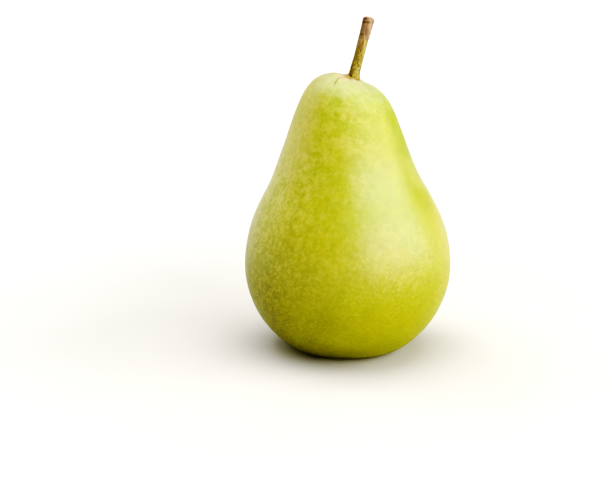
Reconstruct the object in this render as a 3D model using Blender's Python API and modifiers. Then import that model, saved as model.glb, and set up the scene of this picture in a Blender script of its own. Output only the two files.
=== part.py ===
"""A whole fresh pear, standing upright on the flat spot around its calyx.

Pieces: the fruit, the woody stem in a socket at the crown, and, in the basin under the base,
five dried sepals round a dried tuft of stamens.

Metres, +Z up. The origin is where the fruit's axis meets the surface that the pear stands on.
"""
from math import atan2, cos, pi, radians, sin

import bmesh
import bpy
from mathutils import Vector
from mathutils.geometry import interpolate_bezier

MM = 0.001
GAP = 0.3 * MM                       # clearance between neighbouring pieces
WELD_DISTANCE = 0.01 * MM
SHARP_ANGLE = radians(50)
FULL_TURN = 2 * pi

# Base colour (linear) and roughness of each material.
SKIN = ("skin", (0.52, 0.55, 0.09), 0.42)
BARK = ("stem_bark", (0.30, 0.20, 0.07), 0.65)
DRY_SEPAL = ("calyx_dry", (0.22, 0.09, 0.035), 0.8)
DRY_STAMEN = ("stamens_dry", (0.10, 0.05, 0.025), 0.85)

# Fruit outline, one row a knot going up: radius and height (mm), lean inwards from the vertical
# (degrees), and the length of the curve's arm below and above the knot (mm).
FRUIT_OUTLINE = (
    (12.5, 0.0, -90.0, 0.0, 12.0),   # outer edge of the flat foot
    (36.0, 30.0, 0.0, 16.0, 15.0),   # widest girth
    (26.0, 60.5, 25.0, 6.5, 6.5),    # flank, where the belly turns into the neck
    (18.0, 82.5, 20.0, 8.5, 12.5),   # shoulder
    (0.0, 96.5, 90.0, 10.0, 0.0),    # crown, on the axis
)
BASIN_OUTLINE = (
    (5.8, 0.0, 90.0, 0.0, 1.2),      # inner edge of the flat foot
    (0.0, 3.2, 90.0, 4.5, 0.0),      # floor of the calyx basin, on the axis
)
ARC_SEGMENTS = 9                     # along each arc of the outlines
GIRTH_SEGMENTS = 56

# How the grown fruit differs from a turned one. Heights are those of the outline.
CROWN_HEIGHT = FRUIT_OUTLINE[-1][1] * MM
TILT_START = 74 * MM                 # the crown slopes down towards +X above this height
TILT_SLOPE = 0.27
NECK_LEAN = -1.0 * MM                # the neck's shift along X
NECK_LEAN_SPAN = (36 * MM, 80 * MM)
CROWN_LEAN = 1.5 * MM                # the crown's shift back along X
CROWN_LEAN_START = 76 * MM
FLATNESS = 0.018                     # how much shallower the belly is, front to back
BASE_LOBES = 5
BASE_LOBE_DEPTH = 0.012
BASE_LOBE_TOP = 26 * MM
FLANK_LOBES = 3
FLANK_LOBE_DEPTH = 0.008
FLANK_FADE = 80 * MM                 # the flank's lobes fade out from here to the crown

# Stem stations from the end in the socket to the tip: x, y, z and radius (mm).
STEM_STATIONS = (
    (1.10, 1.2, 92.6, 1.55),
    (1.50, 1.2, 95.0, 1.80),
    (1.85, 1.2, 96.6, 2.00),         # flare where the stem leaves the crown
    (2.25, 1.25, 99.0, 1.78),
    (3.60, 1.4, 104.2, 1.68),
    (4.85, 1.6, 109.2, 1.68),
    (6.05, 1.8, 113.6, 1.74),
    (6.65, 1.9, 116.0, 1.86),        # knob
    (6.85, 1.95, 117.2, 1.80),
    (6.95, 1.97, 117.8, 1.20),
)
SOCKET_STATIONS = 4                  # the first stations, up to just above the crown
STEM_STEPS = 3                       # points for each stretch between stations
STEM_BEVEL_RESOLUTION = 4            # twelve sides

# Sepals: each is a thin pointed blade that hangs from the basin's floor and curls inwards.
SEPALS = 5
SEPAL_ARC = ((1.75, 2.3), (3.1, 2.15), (4.0, 1.3), (3.7, 0.5))      # radius, height (mm)
SEPAL_WIDTH = 2.7 * MM
SEPAL_ROOT_WIDTH = 0.58              # as a share of the full width
SEPAL_TIP_WIDTH = 0.12
SEPAL_WIDEST = 0.4                   # how far along the blade it reaches its full width
SEPAL_THICKNESS = 0.35 * MM
SEPAL_CUP = 0.2 * MM                 # how far the blade's edges stand in from its midrib
SEPAL_LENGTH_SPREAD = 0.12           # the blades differ by this much in length
BLADE_ROWS = 6
BLADE_COLUMNS = 2

# Stamens: a short dried brush with a frayed lower end.
TUFT_OUTLINE = (                     # radius, height (mm)
    (0.0, 2.8),
    (0.7, 2.7),
    (0.85, 2.2),
    (0.75, 1.5),
    (1.05, 0.9),
    (0.6, 0.6),
    (0.0, 0.9),
)
TUFT_SEGMENTS = 20
TUFT_FRAY = 0.16 * MM
TUFT_FRAY_TOP = 1.6 * MM             # the brush is frayed below this height


def clear_scene():
    for old in list(bpy.data.objects):
        bpy.data.objects.remove(old, do_unlink=True)


def new_collection(name):
    group = bpy.data.collections.new(name)
    bpy.context.scene.collection.children.link(group)
    return group


def new_material(name, colour, roughness):
    material = bpy.data.materials.new(name)
    material.use_nodes = True
    shader = material.node_tree.nodes["Principled BSDF"]
    shader.inputs["Base Color"].default_value = (*colour, 1.0)
    shader.inputs["Roughness"].default_value = roughness
    shader.inputs["Metallic"].default_value = 0.0
    material.diffuse_color = (*colour, 1.0)
    return material


def new_object(name, mesh, group, parent, material):
    piece = bpy.data.objects.new(name, mesh)
    piece.parent = parent
    mesh.materials.append(material)
    group.objects.link(piece)
    return piece


def shade_round(mesh):
    mesh.shade_smooth()
    mesh.set_sharp_from_angle(angle=SHARP_ANGLE)


def realised_mesh(source, name):
    """The evaluated mesh of an object or curve, welded; the source object is removed."""
    depsgraph = bpy.context.evaluated_depsgraph_get()
    mesh = bpy.data.meshes.new_from_object(source.evaluated_get(depsgraph))
    mesh.name = name
    bpy.data.objects.remove(source, do_unlink=True)
    shape = bmesh.new()
    shape.from_mesh(mesh)
    bmesh.ops.remove_doubles(shape, verts=shape.verts, dist=WELD_DISTANCE)
    bmesh.ops.recalc_face_normals(shape, faces=shape.faces)
    shape.to_mesh(mesh)
    shape.free()
    return mesh


def smoothstep(value, low, high):
    """0 below low, 1 above high, and an even S between them."""
    share = min(max((value - low) / (high - low), 0.0), 1.0)
    return share * share * (3 - 2 * share)


def bezier_point(arms, share):
    """The point at a share of the way along the Bezier curve with these control points."""
    while len(arms) > 1:
        arms = [low.lerp(high, share) for low, high in zip(arms, arms[1:])]
    return arms[0]


def outline_arcs(knots):
    """Points along the arcs through the knots, as radius, 0 and height."""
    points = []
    for lower, upper in zip(knots, knots[1:]):
        ends = []
        for knot, arm in ((lower, lower[4]), (upper, -upper[3])):
            place = Vector((knot[0], 0, knot[1]))
            lean = radians(knot[2])
            ends.append((place, place + arm * Vector((-sin(lean), 0, cos(lean)))))
        (start, start_arm), (end, end_arm) = ends
        arc = interpolate_bezier(start, start_arm, end_arm, end, ARC_SEGMENTS + 1)
        points += arc if not points else arc[1:]
    return [point * MM for point in points]


def turned_mesh(name, outline, steps):
    """An outline that runs down the +X side from the axis to the axis, turned about Z."""
    profile = bpy.data.meshes.new(name)
    edges = [(index, index + 1) for index in range(len(outline) - 1)]
    profile.from_pydata(outline, edges, [])
    blank = bpy.data.objects.new(name, profile)
    bpy.context.scene.collection.objects.link(blank)
    screw = blank.modifiers.new("turn", "SCREW")
    screw.axis = "Z"
    screw.angle = FULL_TURN
    screw.steps = steps
    screw.render_steps = steps
    screw.use_merge_vertices = True
    screw.merge_threshold = WELD_DISTANCE
    return realised_mesh(blank, name)


def grown_form(point):
    """Where a point of the turned fruit lies on the grown one."""
    height = point.z
    angle = atan2(point.y, point.x)
    base_share = 1 - smoothstep(height, 0.0, BASE_LOBE_TOP)
    flank_share = smoothstep(height, 0.0, BASE_LOBE_TOP)
    flank_share *= 1 - smoothstep(height, FLANK_FADE, CROWN_HEIGHT)
    swell = 1 + BASE_LOBE_DEPTH * base_share * sin(BASE_LOBES * angle)
    swell += FLANK_LOBE_DEPTH * flank_share * sin(FLANK_LOBES * angle)
    swell -= FLATNESS * flank_share * sin(angle) ** 2
    x = point.x * swell
    y = point.y * swell
    z = height - TILT_SLOPE * point.x * smoothstep(height, TILT_START, CROWN_HEIGHT)
    x += NECK_LEAN * smoothstep(height, *NECK_LEAN_SPAN)
    x += CROWN_LEAN * smoothstep(height, CROWN_LEAN_START, CROWN_HEIGHT)
    return Vector((x, y, z))


def smooth_stations(stations, steps):
    """A Catmull-Rom curve through the stations, whose rows are x, y, z and radius."""
    rows = [Vector(station) * MM for station in stations]
    rows = [2 * rows[0] - rows[1], *rows, 2 * rows[-1] - rows[-2]]
    path = []
    for before, start, end, after in zip(rows, rows[1:], rows[2:], rows[3:]):
        for step in range(steps):
            t = step / steps
            bend = 2 * before - 5 * start + 4 * end - after
            twist = 3 * start - before - 3 * end + after
            path.append(start + 0.5 * ((end - before) * t + bend * t**2 + twist * t**3))
    path.append(rows[-2])
    return path


def tube_mesh(name, path, extra_radius):
    """A tube with closed ends along the path, as thick as its rows say plus extra_radius."""
    curve = bpy.data.curves.new(name, "CURVE")
    curve.dimensions = "3D"
    curve.bevel_depth = MM
    curve.bevel_resolution = STEM_BEVEL_RESOLUTION
    curve.use_fill_caps = True
    spline = curve.splines.new("POLY")
    spline.points.add(len(path) - 1)
    for point, row in zip(spline.points, path):
        point.co = (row[0], row[1], row[2], 1.0)
        point.radius = (row[3] + extra_radius) / MM
    blank = bpy.data.objects.new(name, curve)
    bpy.context.scene.collection.objects.link(blank)
    return realised_mesh(blank, name)


def make_socket_cutter(group):
    """The hollow that the stem's end sits in: the stem's own form, larger by the gap."""
    path = smooth_stations(STEM_STATIONS[:SOCKET_STATIONS], STEM_STEPS)
    down = (path[0] - path[1]).normalized()
    path[0] = path[0] + down * GAP
    cutter = bpy.data.objects.new("socket_cutter", tube_mesh("socket_cutter", path, GAP))
    cutter.hide_render = True
    cutter.display_type = "WIRE"
    group.objects.link(cutter)
    return cutter


def make_fruit(group, parent, cutter):
    down_the_side = outline_arcs(FRUIT_OUTLINE)[::-1]
    into_the_basin = outline_arcs(BASIN_OUTLINE)
    mesh = turned_mesh("fruit", down_the_side + into_the_basin, GIRTH_SEGMENTS)
    for vertex in mesh.vertices:
        vertex.co = grown_form(vertex.co)
    shade_round(mesh)
    fruit = new_object("fruit", mesh, group, parent, new_material(*SKIN))
    socket = fruit.modifiers.new("stem_socket", "BOOLEAN")
    socket.object = cutter
    socket.operation = "DIFFERENCE"
    socket.solver = "EXACT"


def make_stem(group, parent):
    mesh = tube_mesh("stem", smooth_stations(STEM_STATIONS, STEM_STEPS), 0.0)
    shade_round(mesh)
    new_object("stem", mesh, group, parent, new_material(*BARK))


def blade_mesh(name, length_share):
    """One sepal along +X: a flat grid bent along its arc, narrow at the root and the tip."""
    blade = bmesh.new()
    bmesh.ops.create_grid(blade, x_segments=BLADE_ROWS, y_segments=BLADE_COLUMNS, size=0.5)
    midrib = [Vector((radius, 0, height)) * MM for radius, height in SEPAL_ARC]
    for vertex in blade.verts:
        along = vertex.co.x + 0.5
        across = 2 * vertex.co.y
        place = bezier_point(midrib, along * length_share)
        full = SEPAL_ROOT_WIDTH + (1 - SEPAL_ROOT_WIDTH) * smoothstep(along, 0.0, SEPAL_WIDEST)
        width = full - (1 - SEPAL_TIP_WIDTH) * smoothstep(along, SEPAL_WIDEST, 1.0)
        inwards = SEPAL_CUP * across**2 * sin(pi * along)
        vertex.co = place + Vector((-inwards, across * width * SEPAL_WIDTH / 2, 0))
    mesh = bpy.data.meshes.new(name)
    blade.to_mesh(mesh)
    blade.free()
    shade_round(mesh)
    return mesh


def make_sepals(group, parent):
    dry_leaf = new_material(*DRY_SEPAL)
    for number in range(1, SEPALS + 1):
        name = f"sepal_{number}"
        length_share = 1 - SEPAL_LENGTH_SPREAD * (number % 3) / 2
        sepal = new_object(name, blade_mesh(name, length_share), group, parent, dry_leaf)
        sepal.rotation_euler = (0, 0, FULL_TURN * number / SEPALS)
        thickness = sepal.modifiers.new("thickness", "SOLIDIFY")
        thickness.thickness = SEPAL_THICKNESS
        thickness.offset = 0.0
        soften = sepal.modifiers.new("soften", "SUBSURF")
        soften.levels = 1
        soften.render_levels = 1


def make_stamens(group, parent):
    outline = [Vector((radius, 0, height)) * MM for radius, height in TUFT_OUTLINE]
    mesh = turned_mesh("stamens", outline, TUFT_SEGMENTS)
    for vertex in mesh.vertices:
        side = Vector((vertex.co.x, vertex.co.y, 0))
        if vertex.co.z < TUFT_FRAY_TOP and side.length > 0:
            ridge = cos(TUFT_SEGMENTS / 2 * atan2(side.y, side.x))
            vertex.co += side.normalized() * TUFT_FRAY * ridge
    shade_round(mesh)
    new_object("stamens", mesh, group, parent, new_material(*DRY_STAMEN))


def main():
    clear_scene()
    pieces = new_collection("pear")
    cutters = new_collection("cutters")
    pear = bpy.data.objects.new("pear", None)
    pieces.objects.link(pear)
    make_fruit(pieces, pear, make_socket_cutter(cutters))
    make_stem(pieces, pear)
    make_sepals(pieces, pear)
    make_stamens(pieces, pear)


main()
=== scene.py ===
"""Looks of a whole fresh green pear: its skin, its woody stem and the dried calyx under its base.

Metres, +Z up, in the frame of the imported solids. Each visible piece repeats the form of the solid
that it stands for and adds the finer relief that the grown thing has.
"""

import bmesh
import bpy
import numpy as np
from mathutils import Matrix, Vector, noise
from mathutils.geometry import interpolate_bezier


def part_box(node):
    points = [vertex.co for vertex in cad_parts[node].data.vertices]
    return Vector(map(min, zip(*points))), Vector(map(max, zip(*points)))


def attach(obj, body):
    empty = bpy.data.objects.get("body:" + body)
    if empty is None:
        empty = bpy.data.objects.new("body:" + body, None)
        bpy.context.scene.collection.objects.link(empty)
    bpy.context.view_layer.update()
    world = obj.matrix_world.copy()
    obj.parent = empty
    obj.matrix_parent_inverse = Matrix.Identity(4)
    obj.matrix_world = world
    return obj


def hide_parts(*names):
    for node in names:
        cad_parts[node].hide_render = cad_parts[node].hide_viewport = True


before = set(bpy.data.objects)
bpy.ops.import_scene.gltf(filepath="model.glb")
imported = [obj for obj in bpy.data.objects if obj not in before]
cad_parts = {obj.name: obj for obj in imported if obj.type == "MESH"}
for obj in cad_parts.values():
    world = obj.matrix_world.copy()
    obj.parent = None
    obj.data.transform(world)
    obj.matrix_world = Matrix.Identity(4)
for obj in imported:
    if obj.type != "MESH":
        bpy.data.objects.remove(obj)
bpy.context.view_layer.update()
fruit_low, fruit_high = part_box("fruit")

# The forms below are written in millimetres of a pear of this girth, and follow the frame's size.
DESIGN_GIRTH = 72.0
MM = (fruit_high.x - fruit_low.x) / DESIGN_GIRTH
FULL_TURN = 2 * np.pi

# ---------------------------------------------------------------------------------------------
# Fruit
# ---------------------------------------------------------------------------------------------
# Outline knots going up: radius, height, lean inwards from the vertical (degrees), the curve's arm
# below and above the knot, and the number of rings along the arc that ends there.
FRUIT_OUTLINE = (
    (12.5, 0.0, -90.0, 0.0, 12.0, 0),    # outer edge of the flat foot
    (36.0, 30.0, 0.0, 16.0, 15.0, 64),   # widest girth
    (26.0, 60.5, 25.0, 6.5, 6.5, 50),    # flank, where the belly turns into the neck
    (18.0, 82.5, 20.0, 8.5, 12.5, 40),   # shoulder
    (0.0, 96.5, 90.0, 10.0, 0.0, 96),    # crown, on the axis
)
BASIN_OUTLINE = (
    (5.8, 0.0, 90.0, 0.0, 1.2, 0),       # inner edge of the flat foot
    (0.0, 3.2, 90.0, 4.5, 0.0, 44),      # floor of the calyx basin, on the axis
)
FOOT_RINGS = 6
GIRTH_SEGMENTS = 288
CROWN_HEIGHT = FRUIT_OUTLINE[-1][1]
TILT_START, TILT_SLOPE = 74.0, 0.27
NECK_LEAN, NECK_LEAN_SPAN = -1.0, (36.0, 80.0)
CROWN_LEAN, CROWN_LEAN_START = 1.5, 76.0
FLATNESS = 0.018
BASE_LOBES, BASE_LOBE_DEPTH, BASE_LOBE_TOP = 5, 0.012, 26.0
FLANK_LOBES, FLANK_LOBE_DEPTH, FLANK_FADE = 3, 0.008, 80.0

# Stem stations from the end inside the fruit to the tip: x, y, z and radius.
STEM_STATIONS = (
    (1.10, 1.2, 92.6, 1.55),
    (1.50, 1.2, 95.0, 1.80),
    (1.85, 1.2, 96.6, 2.00),             # flare where the stem leaves the crown
    (2.25, 1.25, 99.0, 1.78),
    (3.60, 1.4, 104.2, 1.68),
    (4.85, 1.6, 109.2, 1.68),
    (6.05, 1.8, 113.6, 1.74),
    (6.65, 1.9, 116.0, 1.86),            # knob
    (6.85, 1.95, 117.2, 1.80),
    (6.95, 1.97, 117.8, 1.20),
)
STEM_FOOT = Vector((1.75, 1.2, 96.1))    # where the stem's axis passes through the crown's skin


def smoothstep(value, low, high):
    """0 at low, 1 at high, and an even S between them."""
    share = np.clip((value - low) / (high - low), 0.0, 1.0)
    return share * share * (3 - 2 * share)


def bump(distance, width):
    """1 at distance 0, falling to nothing a few widths away."""
    return np.exp(-((distance / width) ** 2))


def noise_at(points, wavelength, seed, octaves=2):
    """Smooth noise from about -1 to 1 at each point; its largest lumps are a wavelength wide."""
    offset = Vector((seed * 17.3, seed * 5.1, seed * 9.7))
    values = [
        noise.fractal(Vector(point) / wavelength + offset, 1.0, 2.0, octaves) for point in points
    ]
    return np.array(values)


def outline_arcs(knots):
    """Radii and heights along the arcs through the knots."""
    points = []
    for lower, upper in zip(knots, knots[1:]):
        ends = []
        for knot, arm in ((lower, lower[4]), (upper, -upper[3])):
            lean = np.radians(knot[2])
            place = Vector((knot[0], knot[1]))
            ends += [place, place + arm * Vector((-np.sin(lean), np.cos(lean)))]
        arc = interpolate_bezier(ends[0], ends[1], ends[3], ends[2], upper[5] + 1)
        points += arc if not points else arc[1:]
    return np.array(points)


def fruit_rings():
    """The whole outline from the crown's pole down to the pole of the calyx basin."""
    side = outline_arcs(FRUIT_OUTLINE)[::-1]
    basin = outline_arcs(BASIN_OUTLINE)
    foot = np.linspace(side[-1], basin[0], FOOT_RINGS + 1)[1:-1]
    return np.vstack([side, foot, basin])


def grown_form(radius, height, angle):
    """Where each point of the turned outline lies on the grown fruit, before its fine relief."""
    base_share = 1 - smoothstep(height, 0.0, BASE_LOBE_TOP)
    flank_share = smoothstep(height, 0.0, BASE_LOBE_TOP)
    flank_share = flank_share * (1 - smoothstep(height, FLANK_FADE, CROWN_HEIGHT))
    swell = 1 + BASE_LOBE_DEPTH * base_share * np.sin(BASE_LOBES * angle)
    swell += FLANK_LOBE_DEPTH * flank_share * np.sin(FLANK_LOBES * angle)
    swell -= FLATNESS * flank_share * np.sin(angle) ** 2
    tilt = TILT_SLOPE * radius * np.cos(angle) * smoothstep(height, TILT_START, CROWN_HEIGHT)
    x = radius * np.cos(angle) * swell + NECK_LEAN * smoothstep(height, *NECK_LEAN_SPAN)
    x += CROWN_LEAN * smoothstep(height, CROWN_LEAN_START, CROWN_HEIGHT)
    return np.stack([x, radius * np.sin(angle) * swell, height - tilt], axis=-1)


# Local swellings: centre, reach and height.
SWELLINGS = (
    ((12.5, -2.0, 91.5), 6.0, 0.44),     # shoulder on the low side of the crown
    ((-4.0, 0.0, 97.5), 7.0, 0.25),      # top of the crown
    ((8.0, 0.5, 94.8), 5.0, 0.28),       # crown on the low side of the stem
    ((17.0, 0.0, 82.0), 10.0, 0.28),     # neck on the low side
    ((28.0, 0.0, 59.0), 8.0, 0.28),      # flank on the same side
    ((34.0, 0.0, 40.0), 30.0, 0.22),     # fuller side of the belly
    ((-24.5, 0.0, 67.0), 8.0, 0.28),     # neck on the high side
)


def swellings(points):
    """How far the local swellings lift each point."""
    lift = 0.0
    for centre, reach, height in SWELLINGS:
        lift = lift + height * bump(np.linalg.norm(points - np.array(centre), axis=1), reach)
    return lift


# Relief round the stem's foot: a collar that is higher on one side, a low rise on the crown's high
# side, a trough round the collar, and puckers that run out from the stem.
CROWN_RELIEF_SPAN = (CROWN_HEIGHT - 14, CROWN_HEIGHT - 6)
COLLAR_HEIGHT, COLLAR_REACH = 0.95, 2.9
COLLAR_SIDE, COLLAR_BIAS = np.radians(178), 0.55
RISE_HEIGHT, RISE_X, RISE_REACH, RISE_FADE = 0.40, -4.5, 5.0, (7.0, 12.0)
TROUGH_DEPTH, TROUGH_DISTANCE, TROUGH_WIDTH = 0.10, 4.6, 1.2
PUCKERS, PUCKER_DEPTH, PUCKER_TURN = 7, 0.09, 1.3
PUCKER_START, PUCKER_FADE = (1.8, 3.2), (5.0, 9.0)

# A short crack in the crown's skin, seen from above: where it starts, from the stem's foot, and
# its run. The skin stands up in a lip beside it.
CREASE_START, CREASE_RUN = (-4.0, -3.5), (-3.5, -7.0)
CREASE_DEPTH, CREASE_WIDTH, CREASE_WAVER = 0.34, 0.26, 0.25
CREASE_TINT_WIDTH = 0.34
LIP_HEIGHT, LIP_PLACE, LIP_WIDTH = 0.13, 0.80, 0.55


def crown_relief(points):
    """How far the skin round the stem stands up: a collar, puckers round it, and a crease."""
    side = points[:, :2] - np.array(STEM_FOOT[:2])
    distance = np.hypot(side[:, 0], side[:, 1])
    heading = np.arctan2(side[:, 1], side[:, 0])
    on_crown = smoothstep(points[:, 2], *CROWN_RELIEF_SPAN)
    collar = COLLAR_HEIGHT * bump(distance, COLLAR_REACH)
    collar = collar * (1 + COLLAR_BIAS * np.cos(heading - COLLAR_SIDE))
    rise = RISE_HEIGHT * bump(points[:, 0] - RISE_X, RISE_REACH)
    rise = rise * (1 - smoothstep(distance, *RISE_FADE))
    trough = -TROUGH_DEPTH * bump(distance - TROUGH_DISTANCE, TROUGH_WIDTH)
    reach = smoothstep(distance, *PUCKER_START) * (1 - smoothstep(distance, *PUCKER_FADE))
    puckers = -PUCKER_DEPTH * reach * np.cos(PUCKERS * heading + PUCKER_TURN)
    puckers = puckers * (1 + np.cos(3 * heading)) / 2
    across, within = crease_place(points)
    lip = LIP_HEIGHT * bump(across - LIP_PLACE, LIP_WIDTH)
    crease = within * (-CREASE_DEPTH * bump(across, CREASE_WIDTH) + lip)
    return on_crown * (collar + rise + trough + puckers + crease)


def crease_place(points):
    """The distance across the crease, positive towards the stem, and how fully it is there."""
    start = np.array(STEM_FOOT[:2]) + np.array(CREASE_START)
    length = np.linalg.norm(CREASE_RUN)
    along = np.array(CREASE_RUN) / length
    side = points[:, :2] - start
    share = side @ along / length
    across = side @ np.array((-along[1], along[0]))
    across = across + CREASE_WAVER * np.sin(share * 5.0)
    within = smoothstep(share, 0.0, 0.2) * (1 - smoothstep(share, 0.65, 1.0))
    return across, within * (points[:, 2] > CROWN_RELIEF_SPAN[0])


# The calyx basin's wall, as radii where its relief comes in and fades out, and how it folds.
BASIN_WALL_START, BASIN_WALL_END = (0.6, 2.2), (5.0, 5.8)
BASIN_FOLDS, BASIN_FOLD_DEPTH = 5, 0.16
BASIN_WRINKLES, BASIN_WRINKLE_DEPTH = 17, 0.07


def basin_relief(radius, height, angle):
    """How far the calyx basin's wall folds in: five broad folds, and finer wrinkles on them."""
    on_wall = smoothstep(radius, *BASIN_WALL_START) * (1 - smoothstep(radius, *BASIN_WALL_END))
    folds = BASIN_FOLD_DEPTH * np.cos(BASIN_FOLDS * angle + 0.7)
    wrinkles = BASIN_WRINKLE_DEPTH * np.cos(BASIN_WRINKLES * angle + np.sin(3 * angle))
    return on_wall * (height > 0) * (folds + wrinkles)


def surface_normals(grid):
    """Unit normals of a closed ring grid, pointing out of the fruit."""
    along = np.gradient(grid, axis=0)
    around = np.roll(grid, -1, axis=1) - np.roll(grid, 1, axis=1)
    normals = np.cross(along, around)
    return normals / np.maximum(np.linalg.norm(normals, axis=2, keepdims=True), 1e-9)


def finished_mesh(shape, name):
    """A smooth-shaded mesh from a bmesh, which is freed."""
    data = bpy.data.meshes.new(name)
    shape.to_mesh(data)
    shape.free()
    data.shade_smooth()
    return data


def add_rings(mesh, grid, low_pole, high_pole):
    """Adds a closed skin over rings of points, with a fan at each end."""
    segments = grid.shape[1]
    rows = [[mesh.verts.new(point) for point in ring] for ring in grid * MM]
    for row, next_row in zip(rows, rows[1:]):
        for here in range(segments):
            there = (here + 1) % segments
            mesh.faces.new((row[here], next_row[here], next_row[there], row[there]))
    for row, pole in ((rows[0], low_pole), (rows[-1], high_pole)):
        tip = mesh.verts.new(Vector(pole) * MM)
        for here in range(segments):
            mesh.faces.new((row[here], row[(here + 1) % segments], tip))


def ring_mesh(name, grid, low_pole, high_pole):
    """A closed mesh from rings of points."""
    mesh = bmesh.new()
    add_rings(mesh, grid, low_pole, high_pole)
    bmesh.ops.recalc_face_normals(mesh, faces=mesh.faces)
    return finished_mesh(mesh, name)


def mark(data, name, values):
    """Stores a value for each ring point of a mesh; the two poles get 0."""
    stored = np.append(np.ravel(values), (0.0, 0.0))
    data.attributes.new(name, "FLOAT", "POINT").data.foreach_set("value", stored)


def show(name, data, material, node):
    """Puts a mesh in the scene as a piece that stands for a CAD node."""
    piece = bpy.data.objects.new(name, data)
    bpy.context.scene.collection.objects.link(piece)
    data.materials.append(material)
    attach(piece, "root")
    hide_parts(node)
    return piece


# Uneven skin, as the width of the lumps and their height: broad ones, and a fine grain.
SKIN_LUMPS, SKIN_GRAIN = (13.0, 0.10), (2.4, 0.018)
FLAT_FOOT_TOP = 3.0                      # the relief fades out below this height, towards the foot


def make_fruit(material):
    outline = fruit_rings()[1:-1]
    angle = np.linspace(0, FULL_TURN, GIRTH_SEGMENTS, endpoint=False)
    radius = outline[:, :1] + 0 * angle
    height = outline[:, 1:] + 0 * angle
    angle = angle + 0 * radius
    grid = grown_form(radius, height, angle)
    flat = grid.reshape(-1, 3)
    lumps = SKIN_LUMPS[1] * noise_at(flat, SKIN_LUMPS[0], 1)
    grain = SKIN_GRAIN[1] * noise_at(flat, SKIN_GRAIN[0], 2)
    relief = smoothstep(flat[:, 2], 0.0, FLAT_FOOT_TOP) * (lumps + grain)
    relief = relief.reshape(radius.shape)
    relief = relief - basin_relief(radius, height, angle)
    relief = relief + swellings(flat).reshape(radius.shape)
    grid = grid + surface_normals(grid) * relief[..., None]
    flat = grid.reshape(-1, 3)
    across, within = crease_place(flat)
    grid[..., 2] += crown_relief(flat).reshape(radius.shape)
    grid[..., 2] = np.maximum(grid[..., 2], 0.0)
    poles = (grid[0].mean(axis=0), grid[-1].mean(axis=0))
    data = ring_mesh("pear_skin", grid, *poles)
    mark(data, "crease", within * bump(across, CREASE_TINT_WIDTH))
    show("pear_skin", data, material, "fruit")


# ---------------------------------------------------------------------------------------------
# Stem
# ---------------------------------------------------------------------------------------------
STEM_STEPS = 16
STEM_SEGMENTS = 72
# How the stem differs from a round one, as shares of its radius. Each pair is a depth and a turn
# (radians), or a depth on the green stem and how much deeper it is in the bark.
STEM_FULLNESS = 1.035
STEM_OVAL, STEM_THREE_SIDED = (0.035, 0.8), (0.02, 0.3)
BARK_THICKNESS, WART_HEIGHT, FLARE_DEPTH = 0.035, 0.06, 0.30
RIDGE_DEPTH, FIBRE_DEPTH = (0.035, 0.045), (0.015, 0.03)
RING_SCAR_DEPTH, RIM_DEPTH = 0.045, 0.050

# Where those things are.
BARK_SPAN = (107.5, 112.5)               # heights over which the green stem turns to brown bark
WART_SPAN = (97.5, 101.0)                # heights over which the warts at its foot fade out
FLARE_HEIGHT, FLARE_REACH, FLARE_SIDE = 96.3, 0.9, np.radians(190)
RING_SCAR_HEIGHT, RING_SCAR_WIDTH = 112.2, 0.28      # below the stem's knob
RIM_HEIGHT, RIM_WIDTH = 116.4, 0.22      # the groove under the scar at the tip
GROOVED_SIDE = np.radians(215)           # both are deepest on this side
STEM_SHADE_SIDE = np.radians(200)         # painted shade: the stem is darkest on the side away from the lean and the key lamp
LEAN_SIDE = np.radians(5)                # and painted a little darker in a strip along the opposite side, which the key lamp lights
STEM_END = (                             # the scar at the tip: share of its rim's radius, lift
    (0.86, 0.05),
    (0.74, 0.03),
    (0.66, -0.10),
    (0.52, -0.16),
    (0.34, -0.12),
    (0.14, -0.13),
)
STEM_END_DIP = 0.02                      # how far the scar's middle lies below its last ring


def smooth_stations(stations, steps):
    """A Catmull-Rom curve through the stations."""
    rows = [np.array(station) for station in stations]
    rows = [2 * rows[0] - rows[1], *rows, 2 * rows[-1] - rows[-2]]
    path = []
    for before, start, end, after in zip(rows, rows[1:], rows[2:], rows[3:]):
        for step in range(steps):
            t = step / steps
            bend = 2 * before - 5 * start + 4 * end - after
            twist = 3 * start - before - 3 * end + after
            path.append(start + 0.5 * ((end - before) * t + bend * t**2 + twist * t**3))
    path.append(rows[-2])
    return np.array(path)


def swept_rings(path, radius, segments):
    """Rings of points round a nearly upright path; radius is a row of values for each ring."""
    tangent = np.gradient(path, axis=0)
    tangent /= np.linalg.norm(tangent, axis=1, keepdims=True)
    sideways = np.cross(tangent, (0.0, -1.0, 0.0))
    sideways /= np.linalg.norm(sideways, axis=1, keepdims=True)
    forwards = np.cross(tangent, sideways)
    angle = np.linspace(0, FULL_TURN, segments, endpoint=False)
    spoke = sideways[:, None] * np.cos(angle)[None, :, None]
    spoke = spoke + forwards[:, None] * np.sin(angle)[None, :, None]
    return path[:, None] + spoke * radius[..., None]


def stem_noise(places, stretch, lump, seed, octaves):
    """Noise round the stem, drawn out along it by 1 / stretch."""
    flat = places.reshape(-1, 3) * (1.0, 1.0, stretch)
    return noise_at(flat, lump, seed, octaves).reshape(places.shape[:2])


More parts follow.
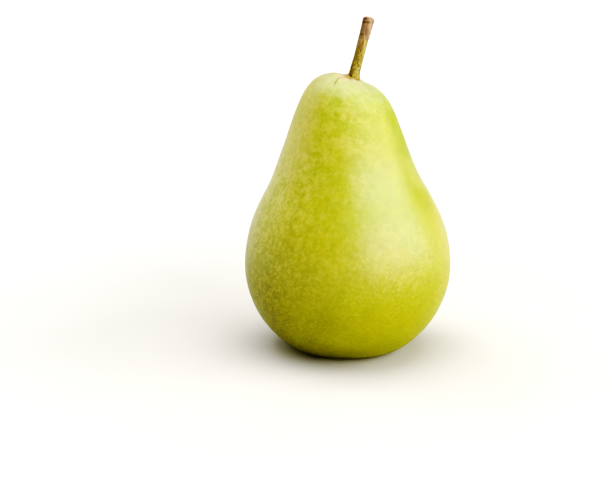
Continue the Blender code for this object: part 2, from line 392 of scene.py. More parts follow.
def stem_radius(path):
    """The stem's radius round each ring: ridges along it, warts at its foot, bark at its head."""
    angle = np.linspace(0, FULL_TURN, STEM_SEGMENTS, endpoint=False)[None, :]
    height = path[:, 2:3]
    level = 0 * height
    places = np.stack([np.cos(angle) + level, np.sin(angle) + level, 0 * angle + height], -1)
    ridges = stem_noise(places, 0.035, 0.42, 3, 3)
    fibres = stem_noise(places, 0.05, 0.16, 4, 2)
    warts = stem_noise(places, 0.6, 0.30, 5, 2)
    bark = smoothstep(height, *BARK_SPAN)
    foot = 1 - smoothstep(height, *WART_SPAN)
    shape = STEM_FULLNESS + STEM_OVAL[0] * np.cos(2 * angle + STEM_OVAL[1])
    shape = shape + STEM_THREE_SIDED[0] * np.cos(3 * angle + STEM_THREE_SIDED[1])
    shape = shape + BARK_THICKNESS * bark
    shape = shape + (RIDGE_DEPTH[0] + RIDGE_DEPTH[1] * bark) * ridges
    shape = shape + (FIBRE_DEPTH[0] + FIBRE_DEPTH[1] * bark) * fibres
    shape = shape + WART_HEIGHT * foot * np.maximum(warts, 0)
    flare = FLARE_DEPTH * bump(height - FLARE_HEIGHT, FLARE_REACH) * bump(angle - FLARE_SIDE, 1.0)
    shape = shape + flare
    dip = 0.6 + 0.4 * np.cos(angle - GROOVED_SIDE)
    ring_scar = bump(height - RING_SCAR_HEIGHT - 0.25 * np.cos(angle), RING_SCAR_WIDTH)
    rim = bump(height - RIM_HEIGHT - 0.15 * np.cos(angle), RIM_WIDTH)
    shape = shape - RING_SCAR_DEPTH * dip * ring_scar
    shape = shape - RIM_DEPTH * dip * rim
    return path[:, 3:4] * shape


def make_stem(material):
    path = smooth_stations(STEM_STATIONS, STEM_STEPS)
    grid = swept_rings(path[:, :3], stem_radius(path), STEM_SEGMENTS)
    end = path[-1, :3]
    rim = grid[-1] - end
    cap = [end + rim * share + np.array((0.0, 0.0, lift)) for share, lift in STEM_END]
    grid = np.concatenate([grid, np.array(cap)])
    poles = (grid[0].mean(axis=0), cap[-1].mean(axis=0) + np.array((0.0, 0.0, -STEM_END_DIP)))
    data = ring_mesh("stem_bark", grid, *poles)
    angle = np.linspace(0, FULL_TURN, STEM_SEGMENTS, endpoint=False)
    # Painted shade: darkest away from the lean and the key lamp, with a darker strip on the lit
    # side.
    stem_painted_shade = 0.5 + 0.5 * np.cos(angle - STEM_SHADE_SIDE)
    stem_painted_shade = np.maximum(stem_painted_shade, 0.75 * bump(1 - np.cos(angle - LEAN_SIDE), 0.5))
    mark(data, "stem_painted_shade", np.tile(stem_painted_shade, len(grid)))
    show("stem_bark", data, material, "stem")


# ---------------------------------------------------------------------------------------------
# Calyx
# ---------------------------------------------------------------------------------------------
SEPALS = 5
SEPAL_ARC = ((1.75, 2.3), (3.1, 2.15), (4.0, 1.3), (3.7, 0.5))
SEPAL_WIDTH, SEPAL_ROOT_WIDTH, SEPAL_TIP_WIDTH, SEPAL_WIDEST = 2.7, 0.58, 0.12, 0.4
SEPAL_THICKNESS = 0.22
SEPAL_CUP = 0.2
SEPAL_LENGTH_SPREAD = 0.12
SEPAL_EDGE_WAVE, SEPAL_RIPPLE = 0.05, 0.03
MIDRIB_HEIGHT, MIDRIB_WIDTH = 0.06, 0.18
SEPAL_ROWS, SEPAL_COLUMNS = 28, 14
STAMENS = 20
STYLES = 5
STAMEN_RADIUS = 0.09
STYLE_RADIUS = 1.3 * STAMEN_RADIUS
STAMEN_ROOT, STYLE_ROOT = 0.62, 0.2      # distance of the roots from the axis
STAMEN_SPREAD, STYLE_SPREAD = 0.98, 0.3  # distance of the tips from the axis
BRUSH_ROOT_HEIGHT, BRUSH_TIP_HEIGHT = 2.72, 0.95
DISC_RADIUS, DISC_HEIGHT, DISC_FLATNESS = 0.8, 2.55, 0.35
DISC_SIDES, DISC_RINGS = 20, 10
FILAMENT_RINGS, FILAMENT_SIDES = 10, 8
FILAMENT_TAPER = 0.45
KNOB_SIZE, KNOB_PLACE, KNOB_WIDTH = 0.9, 0.93, 0.09      # the swollen end, along the filament


def sepal_grid(number):
    """The middle surface of one sepal: cupped, with a midrib, wavy edges and a curled tip."""
    along = np.linspace(0, 1, SEPAL_ROWS + 1)[:, None]
    across = np.linspace(-1, 1, SEPAL_COLUMNS + 1)[None, :]
    share = along * (1 - SEPAL_LENGTH_SPREAD * (number % 3) / 2)
    arms = [np.array((radius, 0.0, height)) for radius, height in SEPAL_ARC]
    weights = ((1 - share) ** 3, 3 * share * (1 - share) ** 2, 3 * share**2 * (1 - share), share**3)
    midrib = sum(weight[..., None] * arm for weight, arm in zip(weights, arms))
    width = SEPAL_ROOT_WIDTH + (1 - SEPAL_ROOT_WIDTH) * smoothstep(along, 0.0, SEPAL_WIDEST)
    width = width - (1 - SEPAL_TIP_WIDTH) * np.maximum(along - SEPAL_WIDEST, 0) / (1 - SEPAL_WIDEST)
    inwards = SEPAL_CUP * across**2 * np.sin(np.pi * along)
    wave = SEPAL_EDGE_WAVE * along * np.sin(9 * along + 2.1 * number) * np.abs(across)
    inwards = inwards + wave
    inwards = inwards - MIDRIB_HEIGHT * bump(across, MIDRIB_WIDTH) * (1 - along)
    ripple = SEPAL_RIPPLE * np.sin(14 * across + number) * smoothstep(along, 0.1, 0.6)
    inwards = inwards + ripple
    grid = midrib + np.zeros(width.shape[:1] + across.shape[1:] + (3,))
    grid[..., 0] -= inwards
    grid[..., 1] += across * width * SEPAL_WIDTH / 2
    return grid


def make_sepal(number, material):
    name = f"sepal_leaf_{number}"
    grid = sepal_grid(number)
    turn = Matrix.Rotation(FULL_TURN * number / SEPALS, 3, "Z")
    mesh = bmesh.new()
    rows = [[mesh.verts.new(turn @ Vector(point) * MM) for point in row] for row in grid]
    for row, next_row in zip(rows, rows[1:]):
        for here in range(SEPAL_COLUMNS):
            mesh.faces.new((row[here], row[here + 1], next_row[here + 1], next_row[here]))
    piece = show(name, finished_mesh(mesh, name), material, f"sepal_{number}")
    thickness = piece.modifiers.new("thickness", "SOLIDIFY")
    thickness.thickness = SEPAL_THICKNESS * MM
    thickness.offset = 0.0
    soften = piece.modifiers.new("soften", "SUBSURF")
    soften.levels = 1
    soften.render_levels = 1


def filament(mesh, root, tip, radius, curl):
    """A thin tapered tube from root to tip with a swollen end, bent sideways by curl."""
    rings, sides = FILAMENT_RINGS, FILAMENT_SIDES
    axis = (tip - root).normalized()
    side = axis.orthogonal().normalized()
    other = axis.cross(side)
    rows = []
    for ring in range(rings + 1):
        share = ring / rings
        centre = root.lerp(tip, share) + curl * np.sin(np.pi * share)
        knob = KNOB_SIZE * bump(share - KNOB_PLACE, KNOB_WIDTH)
        girth = radius * (1 - FILAMENT_TAPER * share + knob)
        turns = [FULL_TURN * step / sides for step in range(sides)]
        spokes = [side * np.cos(turn) + other * np.sin(turn) for turn in turns]
        rows.append([mesh.verts.new((centre + spoke * girth) * MM) for spoke in spokes])
    for row, next_row in zip(rows, rows[1:]):
        for here in range(sides):
            there = (here + 1) % sides
            mesh.faces.new((row[here], row[there], next_row[there], next_row[here]))
    mesh.faces.new(rows[0][::-1])
    mesh.faces.new(rows[-1])


def add_disc(mesh):
    """The flattened ball that the brush grows from."""
    turn = np.linspace(0, FULL_TURN, DISC_SIDES, endpoint=False)[None, :]
    tilt = np.linspace(0, np.pi, DISC_RINGS + 1)[1:-1, None]
    x, y = np.sin(tilt) * np.cos(turn), np.sin(tilt) * np.sin(turn)
    z = DISC_FLATNESS * np.cos(tilt) + 0 * turn
    middle = np.array((0.0, 0.0, DISC_HEIGHT))
    pole = np.array((0.0, 0.0, DISC_RADIUS * DISC_FLATNESS))
    add_rings(mesh, DISC_RADIUS * np.stack([x, y, z], -1) + middle, middle + pole, middle - pole)


def make_stamens(material):
    """The dried brush: styles in the middle, and a ring of shrivelled stamens round them."""
    mesh = bmesh.new()
    for number in range(STAMENS + STYLES):
        outer = number < STAMENS
        share = number / (STAMENS if outer else STYLES)
        turn = FULL_TURN * share + 0.3 * np.sin(number * 2.7)
        heading = Vector((np.cos(turn), np.sin(turn), 0.0))
        root = heading * (STAMEN_ROOT if outer else STYLE_ROOT) + Vector((0, 0, BRUSH_ROOT_HEIGHT))
        spread = (STAMEN_SPREAD if outer else STYLE_SPREAD) + 0.1 * np.sin(number * 1.9)
        tip_height = BRUSH_TIP_HEIGHT + 0.35 * np.sin(number * 4.1)
        tip = heading * spread + Vector((0, 0, tip_height))
        curl = heading.cross(Vector((0, 0, 1))) * 0.14 * np.sin(number * 3.3)
        filament(mesh, root, tip, STAMEN_RADIUS if outer else STYLE_RADIUS, curl)
    add_disc(mesh)
    bmesh.ops.recalc_face_normals(mesh, faces=mesh.faces)
    show("stamen_brush", finished_mesh(mesh, "stamen_brush"), material, "stamens")


# ---------------------------------------------------------------------------------------------
# Materials
# ---------------------------------------------------------------------------------------------
def srgb(code):
    """A linear colour from a hex code."""
    parts = [int(code[start : start + 2], 16) / 255 for start in (0, 2, 4)]
    linear = [part / 12.92 if part < 0.04045 else ((part + 0.055) / 1.055) ** 2.4 for part in parts]
    return (*linear, 1.0)


class Surface:
    """A Principled material and short ways to add the nodes that drive it.

    Lengths are design millimetres; tones are named hex codes.
    """

    def __init__(self, name, tones):
        self.tones = tones
        self.material = bpy.data.materials.new(name)
        self.material.use_nodes = True
        self.tree = self.material.node_tree
        self.shader = self.tree.nodes["Principled BSDF"]
        self.place = self.tree.nodes.new("ShaderNodeTexCoord").outputs["Object"]

    def node(self, kind, inputs, output=0, **settings):
        made = self.tree.nodes.new(kind)
        for setting, value in settings.items():
            setattr(made, setting, value)
        for socket, value in inputs.items():
            self.feed(made.inputs[socket], value)
        return made.outputs[output]

    def feed(self, socket, value):
        if isinstance(value, bpy.types.NodeSocket):
            self.tree.links.new(value, socket)
        else:
            socket.default_value = value

    def set(self, **inputs):
        for socket, value in inputs.items():
            self.feed(self.shader.inputs[socket.replace("_", " ")], value)

    def maths(self, operation, *values):
        return self.node("ShaderNodeMath", dict(enumerate(values)), operation=operation)

    def product(self, first, *others):
        for other in others:
            first = self.maths("MULTIPLY", first, other)
        return first

    def ramp(self, value, low, high, start=0.0, end=1.0):
        """start below low, end above high, and an even S between them."""
        inputs = {"Value": value, "From Min": low, "From Max": high, "To Min": start, "To Max": end}
        return self.node("ShaderNodeMapRange", inputs, interpolation_type="SMOOTHSTEP")

    def mix(self, factor, first, second):
        return self.node("ShaderNodeMix", {0: factor, 6: first, 7: second}, 2, data_type="RGBA")

    def tone(self, name):
        return srgb(self.tones[name])

    def tint(self, colour, share, name):
        """The colour with a share of a tone laid over it."""
        return self.mix(share, colour, self.tone(name))

    def moved(self, place, seed):
        inputs = {0: place, 1: (seed, seed, seed)}
        return self.node("ShaderNodeVectorMath", inputs, operation="ADD")

    def noise(self, lump, detail=2.0, roughness=0.5, seed=0.0, place=None):
        """Noise between 0 and 1 with lumps about that many millimetres wide."""
        inputs = {"Vector": self.moved(place or self.place, seed), "Scale": 1 / (lump * MM)}
        inputs.update({"Detail": detail, "Roughness": roughness})
        return self.node("ShaderNodeTexNoise", inputs)

    def dots(self, spacing, radius, edge, share, seed=0.0):
        """Round dots in a share of the cells of a random grid: 1 inside a dot, 0 outside."""
        cell = self.tree.nodes.new("ShaderNodeTexVoronoi")
        self.feed(cell.inputs["Vector"], self.moved(self.place, seed))
        self.feed(cell.inputs["Scale"], 1 / (spacing * MM))
        chosen = self.node("ShaderNodeSeparateColor", {0: cell.outputs["Color"]})
        rim = (radius / spacing, (radius + edge) / spacing)
        inside = self.ramp(cell.outputs["Distance"], *rim, 1.0, 0.0)
        return self.product(inside, self.ramp(chosen, 1 - share, 1 - 0.6 * share))

    def distance(self, point):
        """The distance from a point, in design millimetres."""
        inputs = {0: self.place, 1: tuple(Vector(point) * MM)}
        apart = self.node("ShaderNodeVectorMath", inputs, "Value", operation="DISTANCE")
        return self.maths("DIVIDE", apart, MM)

    def side(self, direction):
        """How far towards a direction each point lies, in design millimetres."""
        inputs = {0: self.place, 1: tuple(Vector(direction) / MM)}
        return self.node("ShaderNodeVectorMath", inputs, "Value", operation="DOT_PRODUCT")

    def heading(self, direction):
        """The cosine, seen from above, of the angle from each point's heading to a direction."""
        inputs = {0: self.place, 1: (1, 1, 0)}
        flat = self.node("ShaderNodeVectorMath", inputs, operation="MULTIPLY")
        flat = self.node("ShaderNodeVectorMath", {0: flat}, operation="NORMALIZE")
        inputs = {0: flat, 1: (*direction, 0.0)}
        return self.node("ShaderNodeVectorMath", inputs, "Value", operation="DOT_PRODUCT")

    def height(self):
        """The height above the rest surface, in design millimetres."""
        return self.maths("DIVIDE", self.node("ShaderNodeSeparateXYZ", {0: self.place}, "Z"), MM)

    def attribute(self, name):
        return self.node("ShaderNodeAttribute", {}, "Fac", attribute_name=name)

    def relief(self, *layers):
        """Bump from (height between 0 and 1, depth in design millimetres) layers."""
        total = None
        for value, depth in layers:
            scaled = self.maths("MULTIPLY", value, depth * MM)
            total = scaled if total is None else self.maths("ADD", total, scaled)
        self.set(Normal=self.node("ShaderNodeBump", {"Height": total, "Distance": 1.0}))


SKIN_TONES = {
    "yellow_green": "9f9708",
    "green": "8b950b",
    "blotch": "878b02",
    "olive_painted_shade": "5e5a00",
    "fleck_low": "8c820e",
    "fleck_high": "bcb35c",
    "pale_fleck": "b4a84c",
    "speck": "ccc470",
    "freckle": "7c8000",
    "lime": "788500",
    "tan": "b9ab66",
    "lenticel": "6f7a0a",
    "cap": "acb07e",
    "cap_middle": "b8b084",
    "blush": "be9a76",
    "stem_shade": "8a7030",
    "flare_shade": "886820",
    "crease": "858038",
    "calyx_russet": "a88450",
    "calyx_speck": "5a3216",
    "calyx_shade": "6b4e30",
}
# Directions, seen from above, that the sides of the fruit face.
FRONT = (0, -1)
# Painted shade lies low down on the first of these sides; the key lamp faces the second.
PAINTED_SHADE_SIDE, KEY_LIT_SIDE = (-0.50, -0.87), (0.77, -0.64)
LIME_SIDE, PALE_RIM_SIDE = (0.95, 0.30), (-0.95, -0.30)
# From the stem's foot to the middle of the blush, and of the shade beside the stem's flare.
BLUSH_PLACE, FLARE_SHADE_PLACE = (-3.5, -3.0, 1.0), (-1.5, -1.5, 1.0)
CALYX_MIDDLE = (0, 0, 2.0)


def skin_ground(skin, height, key_lit):
    """The yellow-green ground, greener towards the crown; olive low down away from the key lamp is
    partly painted shade.
    """
    broad = skin.noise(24, 2.0, seed=3.1)
    blotch = skin.noise(5.0, 2.0, 0.5, seed=1.7)
    greener = skin.ramp(broad, 0.35, 0.65, 0.0, 0.6)
    greener = skin.maths("ADD", greener, skin.ramp(height, 35, 85, 0.0, 0.4))
    colour = skin.mix(greener, skin.tone("yellow_green"), skin.tone("green"))
    colour = skin.tint(colour, skin.ramp(blotch, 0.45, 0.62, 0.0, 0.40), "blotch")
    # Painted shade: olive low down, strongest away from the key lamp; partly a deeper skin tone.
    shaded = skin.ramp(skin.heading(PAINTED_SHADE_SIDE), -0.5, 0.3, 0.5, 1.0)
    shaded = skin.maths("SUBTRACT", shaded, skin.product(key_lit, 0.75))
    olive = skin.product(shaded, skin.ramp(height, 18, 64, 0.92, 0.0))
    return skin.tint(colour, olive, "olive_painted_shade")


def skin_flecks(skin, colour, height, key_lit, veil, fleck):
    """Pale flecks and specks and darker freckles, all fainter on the side that the key lamp lights.
    """
    calm = skin.maths("SUBTRACT", 1.0, skin.product(key_lit, skin.ramp(height, 30, 60, 0.3, 0.9)))
    pale = skin.product(
        skin.ramp(skin.noise(3.2, 3.0, 0.6, seed=12.3), 0.44, 0.60, 0.0, 0.6),
        skin.ramp(height, 30, 75, 0.15, 1.4),
        skin.ramp(skin.heading(FRONT), -0.6, 0.3, 0.65, 1.0),
        skin.ramp(height, 80, 93, 1.0, 0.55),
        calm,
    )
    colour = skin.tint(colour, pale, "pale_fleck")
    calm = skin.product(calm, skin.ramp(veil, 0.35, 0.60, 0.65, 1.0))
    calm = skin.product(calm, skin.ramp(height, 55, 85, 1.0, 0.75))
    light = skin.mix(skin.ramp(height, 10, 62), skin.tone("fleck_low"), skin.tone("fleck_high"))
    share = skin.product(skin.ramp(fleck, 0.44, 0.62, 0.0, 0.75), calm)
    colour = skin.mix(share, colour, light)
    speck = skin.noise(0.8, 2.0, 0.5, seed=9.4)
    share = skin.product(skin.ramp(speck, 0.48, 0.66, 0.0, 0.35), calm)
    colour = skin.mix(share, colour, skin.mix(0.5, light, skin.tone("speck")))
    freckle = skin.noise(1.3, 2.0, 0.5, seed=7.7)
    share = skin.product(skin.ramp(freckle, 0.50, 0.66), skin.ramp(height, 25, 60, 0.65, 0.5), calm)
    return skin.tint(colour, share, "freckle")


def lime_share(skin, height, veil):
    """How far the skin is lime: a ragged strip along one side of the neck, partly painted shade."""
    ragged = skin.maths("ADD", height, skin.ramp(veil, 0.3, 0.7, -9.0, 9.0))
    return skin.product(
        skin.ramp(skin.heading(LIME_SIDE), 0.45, 0.80),
        skin.ramp(ragged, 52, 78, 0.0, 0.62),
        skin.ramp(height, 80, 92, 1.0, 0.6),
    )


def pale_rim_share(skin, height):
    """How far the skin is tan: a strip along the neck's other side, partly a painted reflection."""
    strip = skin.ramp(skin.heading(PALE_RIM_SIDE), 0.72, 0.95)
    return skin.product(strip, skin.ramp(height, 60, 75, 0.0, 0.42))


def skin_crown(skin, colour):
    """A pale ragged cap on the crown, partly a painted reflection; a blush and darker skin at the
    stem's foot; the crease.
    """
    from_stem = skin.distance(STEM_FOOT)
    waver = skin.ramp(skin.noise(2.0, 3.0, seed=2.2), 0.3, 0.7, -1.6, 1.6)
    ragged = skin.maths("ADD", from_stem, waver)
    # Painted reflection: the pale cap is partly paler skin, partly the overhead light painted on
    # the crown.
    colour = skin.tint(colour, skin.ramp(ragged, 6.0, 19.0, 0.62, 0.0), "cap")
    colour = skin.tint(colour, skin.ramp(ragged, 3.0, 8.5, 0.60, 0.0), "cap_middle")
    from_blush = skin.distance(STEM_FOOT + Vector(BLUSH_PLACE))
    colour = skin.tint(colour, skin.ramp(from_blush, 1.0, 4.0, 0.50, 0.0), "blush")
    colour = skin.tint(colour, skin.ramp(from_stem, 2.1, 3.0, 0.70, 0.0), "stem_shade")
    from_flare = skin.distance(STEM_FOOT + Vector(FLARE_SHADE_PLACE))
    colour = skin.tint(colour, skin.ramp(from_flare, 1.1, 2.6, 0.90, 0.0), "flare_shade")
    return skin.tint(colour, skin.product(skin.attribute("crease"), 0.55), "crease")


def skin_calyx(skin, colour):
    """Russet skin with dark specks round the calyx, darker still in the basin."""
    from_calyx = skin.distance(CALYX_MIDDLE)
    waver = skin.ramp(skin.noise(2.6, 4.0, 0.65, seed=6.1), 0.3, 0.7, -3, 3)
    ragged = skin.maths("ADD", from_calyx, waver)
    colour = skin.tint(colour, skin.ramp(ragged, 5.0, 12.0, 0.65, 0.0), "calyx_russet")
    specks = skin.dots(0.9, 0.10, 0.16, 0.5, seed=0.77)
    near = skin.ramp(from_calyx, 6.0, 14.0, 0.8, 0.0)
    colour = skin.tint(colour, skin.product(specks, near), "calyx_speck")
    return skin.tint(colour, skin.ramp(from_calyx, 2.2, 5.2, 0.7, 0.0), "calyx_shade")


def skin_material():
    skin = Surface("pear_skin", SKIN_TONES)
    height = skin.height()
    veil = skin.noise(11.0, 2.0, 0.5, seed=8.9)
    fleck = skin.noise(2.1, 3.0, 0.62, seed=5.3)
    grain = skin.noise(0.55, 2.0, seed=4.4)
    lenticels = skin.dots(2.1, 0.13, 0.20, 0.8)
    # How far each point faces the key lamp, with a ragged edge; it thins the painted shade and the
    # flecks.
    key_lit = skin.maths("ADD", skin.side((*KEY_LIT_SIDE, 0)), skin.ramp(veil, 0.3, 0.7, -8.0, 8.0))
    key_lit = skin.ramp(key_lit, -15, 30)

    colour = skin_ground(skin, height, key_lit)
    colour = skin_flecks(skin, colour, height, key_lit, veil, fleck)
    lime = lime_share(skin, height, veil)
    # Partly painted shade: the lime strip darkens one edge of the neck.
    colour = skin.tint(colour, lime, "lime")
    # Partly a painted reflection: the tan strip pales the neck's other edge.
    colour = skin.tint(colour, pale_rim_share(skin, height), "tan")
    faint = skin.product(skin.ramp(height, 15, 75, 1.0, 0.45), 0.55)
    colour = skin.tint(colour, skin.product(lenticels, faint), "lenticel")
    colour = skin_calyx(skin, skin_crown(skin, colour))

    rough = skin.ramp(fleck, 0.3, 0.7, 0.44, 0.52)
    rough = skin.maths("ADD", rough, skin.ramp(height, 60, 84, 0.0, 0.12))
    gloss = skin.ramp(height, 20, 55, 0.5, 1.0)
    gloss = skin.maths("SUBTRACT", gloss, skin.ramp(height, 64, 84, 0.0, 0.15))
    gloss = skin.product(gloss, skin.ramp(lime, 0.0, 0.7, 1.0, 0.82))
    skin.set(Base_Color=colour, Roughness=rough, Specular_IOR_Level=gloss)
    skin.set(Coat_Weight=skin.product(gloss, 0.4))
    skin.set(Coat_Roughness=skin.ramp(height, 60, 84, 0.40, 0.62))
    skin.set(Subsurface_Weight=0.2, Subsurface_Scale=0.003, Subsurface_Radius=(1.0, 0.8, 0.25))
    skin.relief((grain, 0.02), (fleck, 0.03), (lenticels, 0.03))
    return skin.material


STEM_TONES = {
    "olive": "85713a",
    "olive_streak": "9d8c58",
    "olive_spot": "b2a26c",
    "brown": "795e4f",
    "brown_streak": "a4856c",
    "olive_fibre": "4c3a20",
    "brown_fibre": "5a483a",
    "olive_shade": "584728",
    "brown_shade": "6e5a4a",
    "light_fleck": "c6b060",
    "dark_fleck": "4a3512",
    "speck": "3c2a0a",
    "foot": "94762f",
    "groove": "3d2512",
    "tip_rim": "7a4f2c",
    "tip_wood": "c49c7a",
    "tip_stain": "442c1c",
    "tip_dark_ring": "7a5236",
    "tip_painted_highlight": "ddc4ac",
}
# Marks on the scar at the stem's tip: place from the tip, inner and outer radius, strength, tone.
# The last two are a darker ring and a painted highlight inside it.
TIP_MARKS = (
    ((0.0, 0.0, -0.1), 1.2, 1.8, 0.65, "tip_rim"),
    ((0.15, -0.1, 0.0), 0.9, 1.35, 0.85, "tip_wood"),
    ((-1.05, -0.9, -0.35), 0.50, 0.95, 0.90, "tip_stain"),
    ((1.15, -1.05, -0.75), 0.45, 0.62, 0.85, "tip_dark_ring"),
    # painted highlight on the scar at the tip
    ((1.15, -1.05, -0.75), 0.26, 0.42, 0.95, "tip_painted_highlight"),
)
FIBRE_STRETCH = (1, 1, 0.14)             # draws the noise out along the stem


def stem_material():
    stem = Surface("stem_bark", STEM_TONES)
    height = stem.height()
    inputs = {0: stem.place, 1: FIBRE_STRETCH}
    stretch = stem.node("ShaderNodeVectorMath", inputs, operation="MULTIPLY")
    fibre = stem.noise(0.5, 3.0, 0.6, seed=1.3, place=stretch)
    streak = stem.noise(1.1, 2.0, 0.5, seed=4.7, place=stretch)
    patch = stem.noise(1.6, 3.0, 0.6, seed=2.9)
    spot = stem.noise(0.8, 2.0, 0.5, seed=6.6)
    fleck = stem.noise(0.9, 3.0, 0.65, seed=8.1)
    specks = stem.dots(0.8, 0.10, 0.12, 0.6)

    olive = stem.mix(stem.ramp(streak, 0.38, 0.62), stem.tone("olive"), stem.tone("olive_streak"))
    olive = stem.tint(olive, stem.ramp(spot, 0.52, 0.66, 0.0, 0.4), "olive_spot")
    brown = stem.mix(stem.ramp(streak, 0.40, 0.60), stem.tone("brown"), stem.tone("brown_streak"))
    bark = stem.maths("ADD", height, stem.ramp(patch, 0.3, 0.7, -2.5, 2.5))
    bark = stem.ramp(bark, *BARK_SPAN)
    colour = stem.mix(bark, olive, brown)
    dark = stem.mix(bark, stem.tone("olive_fibre"), stem.tone("brown_fibre"))
    colour = stem.mix(stem.ramp(fibre, 0.50, 0.64, 0.0, 0.60), colour, dark)
    shade = stem.mix(bark, stem.tone("olive_shade"), stem.tone("brown_shade"))
    # Painted shade: the stem is darker on the side away from the key lamp and in a strip on the lit
    # side.
    stem_painted_shade = stem.ramp(patch, 0.3, 0.7, -0.2, 0.2)
    stem_painted_shade = stem.maths("ADD", stem.attribute("stem_painted_shade"), stem_painted_shade)
    colour = stem.mix(stem.ramp(stem_painted_shade, 0.40, 0.95, 0.0, 0.55), colour, shade)

    low = stem.ramp(height, 97.5, 108.0, 1.0, 0.35)
    share = stem.product(stem.ramp(fleck, 0.37, 0.45, 0.5, 0.0), low)
    colour = stem.tint(colour, share, "light_fleck")
    share = stem.product(stem.ramp(fleck, 0.54, 0.62, 0.0, 0.65), low)
    colour = stem.tint(colour, share, "dark_fleck")
    share = stem.product(specks, stem.ramp(height, 97.5, 104.0, 0.85, 0.15))
    colour = stem.tint(colour, share, "speck")
    foot = stem.maths("ADD", height, stem.ramp(spot, 0.3, 0.7, -0.4, 0.4))
    colour = stem.tint(colour, stem.ramp(foot, 96.9, 98.0, 0.4, 0.0), "foot")
    # Painted shade: the ring scar and the rim under the tip are darkened as shaded grooves, most on
    # the stem's shaded side.
    for level, strength in ((RING_SCAR_HEIGHT, 0.45), (RIM_HEIGHT, 0.55)):
        apart = stem.maths("ABSOLUTE", stem.maths("SUBTRACT", height, level))
        groove = stem.product(stem.ramp(apart, 0.1, 0.5, strength, 0.0), stem_painted_shade)
        colour = stem.tint(colour, groove, "groove")

    tip = Vector(STEM_STATIONS[-1][:3])
    for offset, inner, outer, strength, tone in TIP_MARKS:
        near = stem.ramp(stem.distance(tip + Vector(offset)), inner, outer, strength, 0.0)
        colour = stem.tint(colour, near, tone)

    stem.set(Base_Color=colour, Roughness=stem.ramp(streak, 0.3, 0.7, 0.5, 0.72))
    stem.set(Specular_IOR_Level=0.4)
    stem.relief((fibre, 0.12), (patch, 0.06), (spot, 0.05), (specks, 0.06))
    return stem.material


SEPAL_TONES = {"brown": "5e4532", "tan": "86684a", "fibre": "33231a", "tip": "3a2a20"}
STAMEN_TONES = {"dark": "2c1a10", "brown": "6a452a", "tip": "8a6a48"}


def sepal_material():
    leaf = Surface("sepal_dry", SEPAL_TONES)
    fibre = leaf.noise(0.5, 3.0, 0.6, seed=2.0)
    patch = leaf.noise(1.6, 3.0, 0.6, seed=7.0)
    colour = leaf.mix(leaf.ramp(patch, 0.35, 0.65), leaf.tone("brown"), leaf.tone("tan"))
    colour = leaf.tint(colour, leaf.ramp(fibre, 0.50, 0.66, 0.0, 0.7), "fibre")
    colour = leaf.tint(colour, leaf.ramp(leaf.height(), 0.5, 1.3, 0.7, 0.0), "tip")
    leaf.set(Base_Color=colour, Roughness=leaf.ramp(fibre, 0.3, 0.7, 0.65, 0.85))
    leaf.set(Specular_IOR_Level=0.3)
    leaf.relief((fibre, 0.06), (patch, 0.05))
    return leaf.material


def stamen_material():
    brush = Surface("stamens_dry", STAMEN_TONES)
    fibre = brush.noise(0.35, 3.0, 0.6, seed=3.0)
    colour = brush.mix(brush.ramp(fibre, 0.35, 0.65), brush.tone("dark"), brush.tone("brown"))
    colour = brush.tint(colour, brush.ramp(brush.height(), 0.7, 1.3, 0.6, 0.0), "tip")
    brush.set(Base_Color=colour, Roughness=brush.ramp(fibre, 0.3, 0.7, 0.7, 0.9))
    brush.set(Specular_IOR_Level=0.3)
    brush.relief((fibre, 0.04))
    return brush.material


# ---------------------------------------------------------------------------------------------
# Stage, light and camera
# ---------------------------------------------------------------------------------------------
FLOOR_RADIUS = 0.95
FLOOR_TONES = {"grey": "d2cfc9", "pale_grey": "d5d2cc", "white": "f6f5f3"}
FLOOR_FADE = (60, 380)                   # millimetres from the pear, from grey to white


# Painted light: the floor is greyer and warmer near the pear, against the key lamp's brighter light
# there and to warm the pear's shadow.
def floor_material():
    paper = Surface("studio_floor", FLOOR_TONES)
    grain = paper.noise(60, 3.0, 0.5)
    near = paper.mix(paper.ramp(grain, 0.3, 0.7), paper.tone("grey"), paper.tone("pale_grey"))
    far = paper.ramp(paper.distance((0, 0, 0)), *FLOOR_FADE)
    paper.set(Base_Color=paper.tint(near, far, "white"))
    paper.set(Roughness=paper.ramp(grain, 0.3, 0.7, 0.75, 0.85), Specular_IOR_Level=0.2)
    return paper.material


def make_floor():
    mesh = bmesh.new()
    bmesh.ops.create_circle(mesh, cap_ends=True, segments=128, radius=FLOOR_RADIUS)
    data = bpy.data.meshes.new("studio_floor")
    mesh.to_mesh(data)
    mesh.free()
    data.materials.append(floor_material())
    floor = bpy.data.objects.new("studio_floor", data)
    bpy.context.scene.collection.objects.link(floor)


def area_light(name, place, target, size, watts):
    """A soft rectangular lamp at place that faces target."""
    lamp = bpy.data.lights.new(name, "AREA")
    lamp.shape = "RECTANGLE"
    lamp.size, lamp.size_y = size
    lamp.energy = watts
    fixture = bpy.data.objects.new(name, lamp)
    fixture.location = place
    facing = Vector(target) - Vector(place)
    fixture.rotation_euler = facing.to_track_quat("-Z", "Y").to_euler()
    bpy.context.scene.collection.objects.link(fixture)


# The surround's strength falls over these sines of the height above the horizon.
SKY_FADE = {"From Min": 0.03, "From Max": 0.2, "To Min": 1.05, "To Max": 0.25}


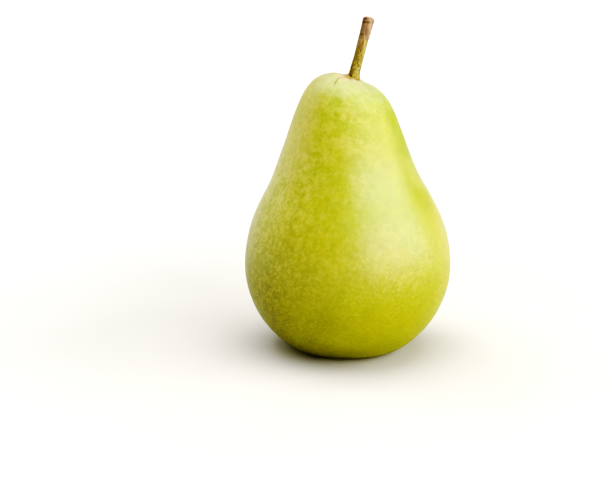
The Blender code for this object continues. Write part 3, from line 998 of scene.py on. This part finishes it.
def make_world():
    """A white surround, brightest at the horizon."""
    world = bpy.data.worlds.new("studio")
    bpy.context.scene.world = world
    world.use_nodes = True
    tree = world.node_tree
    direction = tree.nodes.new("ShaderNodeTexCoord").outputs["Generated"]
    split = tree.nodes.new("ShaderNodeSeparateXYZ")
    tree.links.new(direction, split.inputs[0])
    fade = tree.nodes.new("ShaderNodeMapRange")
    fade.interpolation_type = "SMOOTHSTEP"
    tree.links.new(split.outputs["Z"], fade.inputs["Value"])
    for socket, value in SKY_FADE.items():
        fade.inputs[socket].default_value = value
    tree.links.new(fade.outputs[0], tree.nodes["Background"].inputs["Strength"])
    tree.nodes["Background"].inputs["Color"].default_value = (1.0, 1.0, 1.0, 1.0)


PEAR_MIDDLE = (0.0, 0.0, 0.05)
LIGHTS = (                               # name, place, width and height, watts
    ("key_softbox", (0.909, -0.525, 0.425), (2.10, 1.08), 24.8),
    ("fill_softbox", (-0.60, 0.35, 0.55), (0.7, 0.7), 2.2),
    ("top_softbox", (0.0, 0.2, 2.2), (2.4, 2.4), 54.0),
)


def make_lights():
    for name, place, size, watts in LIGHTS:
        area_light(name, place, PEAR_MIDDLE, size, watts)


CAMERA_DISTANCE = 0.9
CAMERA_ELEVATION = np.radians(16.0)
CAMERA_AIM = (-0.01447, 0.01244)         # how far right of and below the pear's middle it aims
CAMERA_LENS, SENSOR_WIDTH = 151.5, 36.0


def make_camera():
    data = bpy.data.cameras.new("camera")
    data.sensor_width = SENSOR_WIDTH
    data.lens = CAMERA_LENS
    data.clip_start = 0.01
    data.clip_end = 50.0
    camera = bpy.data.objects.new("camera", data)
    middle = Vector(PEAR_MIDDLE)
    back = Vector((0.0, -np.cos(CAMERA_ELEVATION), np.sin(CAMERA_ELEVATION)))
    upwards = Vector((0.0, np.sin(CAMERA_ELEVATION), np.cos(CAMERA_ELEVATION)))
    camera.location = middle + CAMERA_DISTANCE * back
    aim = middle + CAMERA_AIM[0] * Vector((1.0, 0.0, 0.0)) - CAMERA_AIM[1] * upwards
    camera.rotation_euler = (aim - camera.location).to_track_quat("-Z", "Y").to_euler()
    bpy.context.scene.collection.objects.link(camera)
    bpy.context.scene.camera = camera


# Points of the response curves, from what comes in to what goes out, between (0, 0) and (1, 1).
BLUE_CURVE = ((0.03, 0.014), (0.12, 0.105), (0.40, 0.395))
TONE_CURVE = ((0.085, 0.018), (0.175, 0.13), (0.30, 0.33), (0.60, 0.66))
BLUE_CHANNEL, ALL_CHANNELS = 2, 3


def set_tones():
    """A camera's S-shaped response, with white kept white and faint blues a little weaker."""
    view = bpy.context.scene.view_settings
    view.view_transform = "Standard"
    view.use_curve_mapping = True
    for channel, curve in ((ALL_CHANNELS, TONE_CURVE), (BLUE_CHANNEL, BLUE_CURVE)):
        for point in curve:
            view.curve_mapping.curves[channel].points.new(*point)
    view.curve_mapping.update()


set_tones()
make_camera()
make_world()
make_lights()
make_floor()
make_fruit(skin_material())
make_stem(stem_material())
sepal_leaf = sepal_material()
for number in range(1, SEPALS + 1):
    make_sepal(number, sepal_leaf)
make_stamens(stamen_material())
